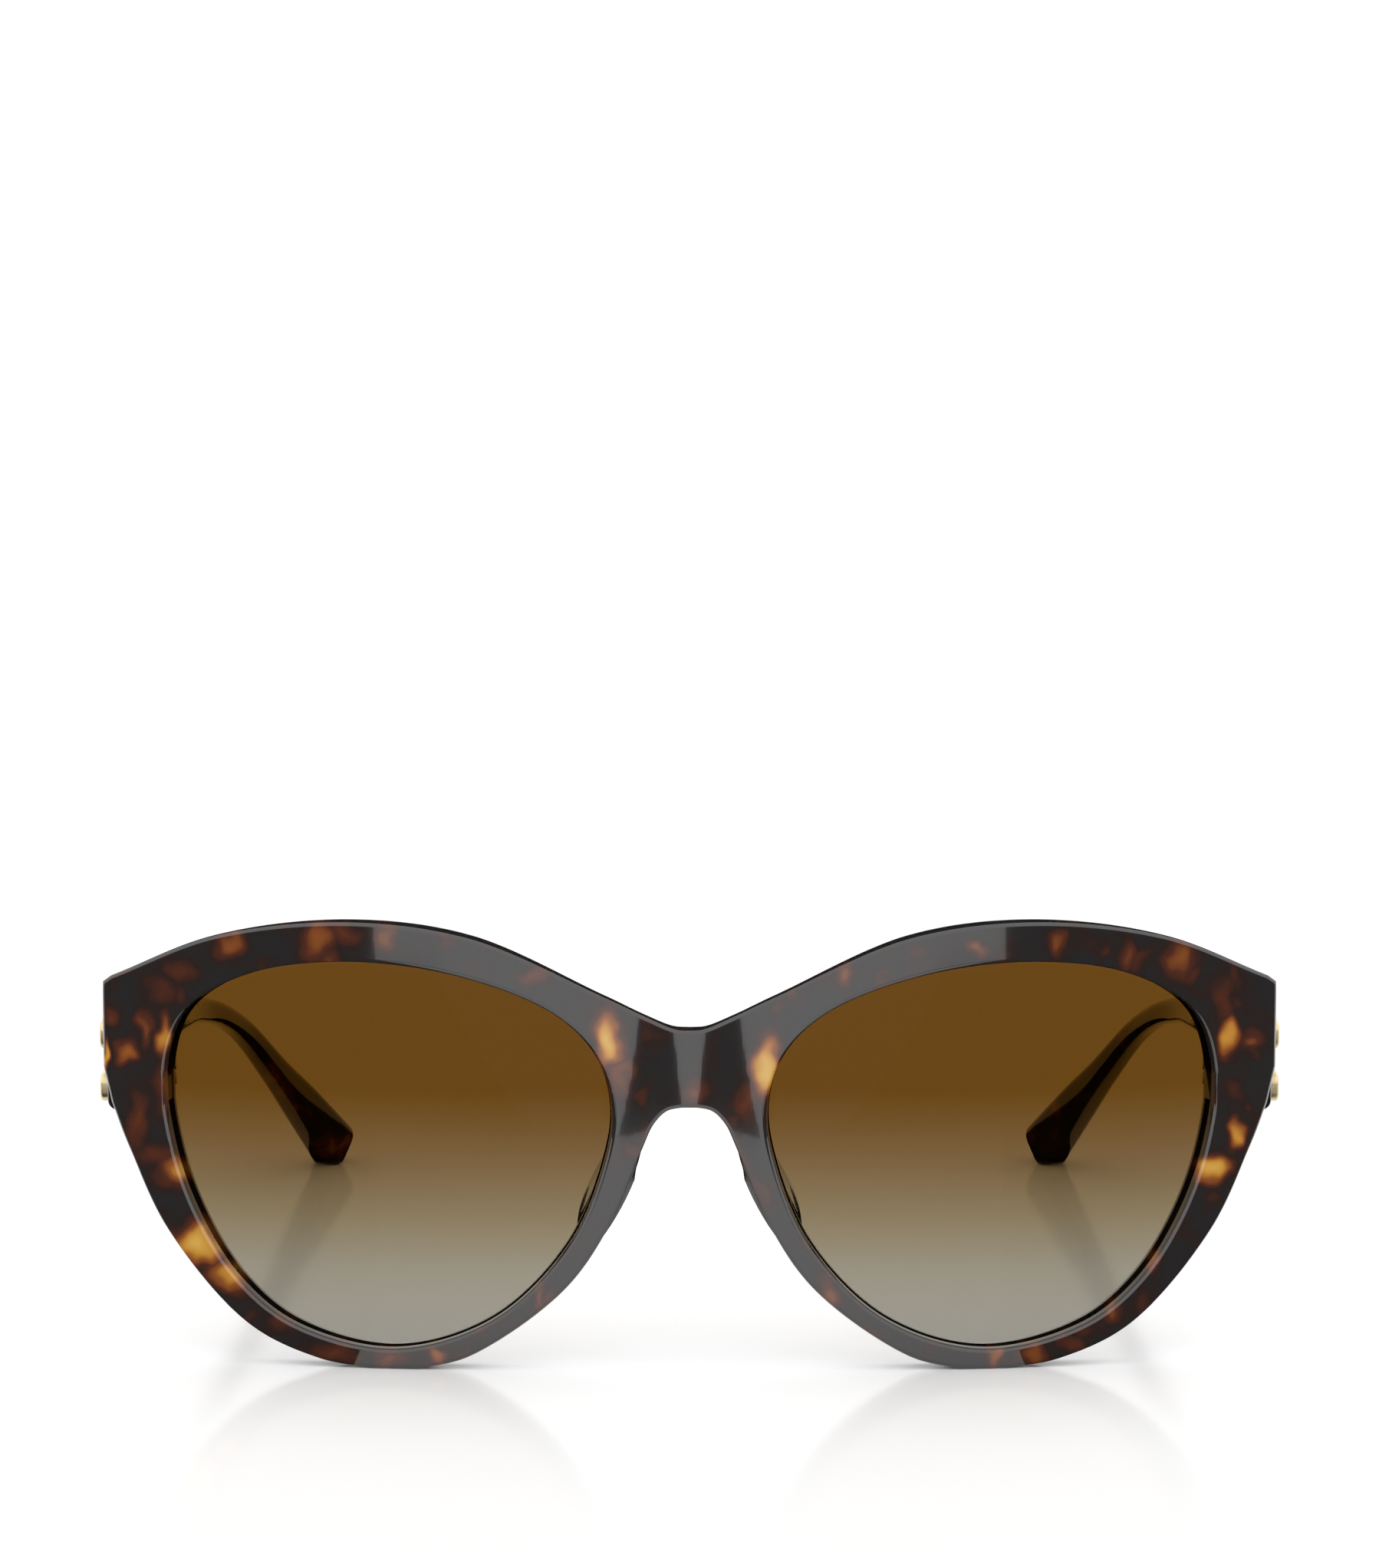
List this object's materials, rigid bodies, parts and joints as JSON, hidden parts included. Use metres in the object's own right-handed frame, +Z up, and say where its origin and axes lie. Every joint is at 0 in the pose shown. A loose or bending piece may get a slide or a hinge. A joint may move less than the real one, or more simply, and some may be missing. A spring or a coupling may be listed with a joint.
{
  "type": "sunglasses",
  "caption": "Cat eye sunglasses: curved tortoiseshell acetate front, gradient tinted lenses and temples that fold inwards on five-barrel hinges.",
  "frame": {"origin": "on the ground under the middle of the open sunglasses", "axes": "+Z up, -Y the way the front faces, +X the wearer's left"},
  "size_m": [0.148, 0.1436, 0.0558],
  "materials": {
    "acetate": "polished dark tortoiseshell acetate",
    "tinted_lens": "brown tint fading to pale grey-brown at the bottom",
    "hinge_metal": "satin nickel silver",
    "gold_trim": "polished pale gold"
  },
  "bodies": {
    "front": {"front_frame": "acetate", "lens_left": "tinted_lens", "lens_right": "tinted_lens", "nose_pad_left": "acetate", "nose_pad_right": "acetate", "hinge_front_leaf_left": "hinge_metal", "hinge_front_leaf_right": "hinge_metal", "hinge_screw_left": "hinge_metal", "hinge_screw_right": "hinge_metal"},
    "left_arm": {"temple_left": "acetate", "hinge_temple_leaf_left": "hinge_metal", "core_wire_left": "hinge_metal", "trim_upper_left": "gold_trim", "trim_lower_left": "gold_trim"},
    "right_arm": {"temple_right": "acetate", "hinge_temple_leaf_right": "hinge_metal", "core_wire_right": "hinge_metal", "trim_upper_right": "gold_trim", "trim_lower_right": "gold_trim"}
  },
  "joints": [
    {"name": "left_temple_fold", "type": "hinge", "parent": "front", "child": "left_arm", "pos_m": [0.0656, -0.05623, 0.0376], "axis": [0, 0, 1], "range_deg": [0, 84]},
    {"name": "right_temple_fold", "type": "hinge", "parent": "front", "child": "right_arm", "pos_m": [-0.0656, -0.05623, 0.0376], "axis": [0, 0, -1], "range_deg": [0, 77]}
  ]
}
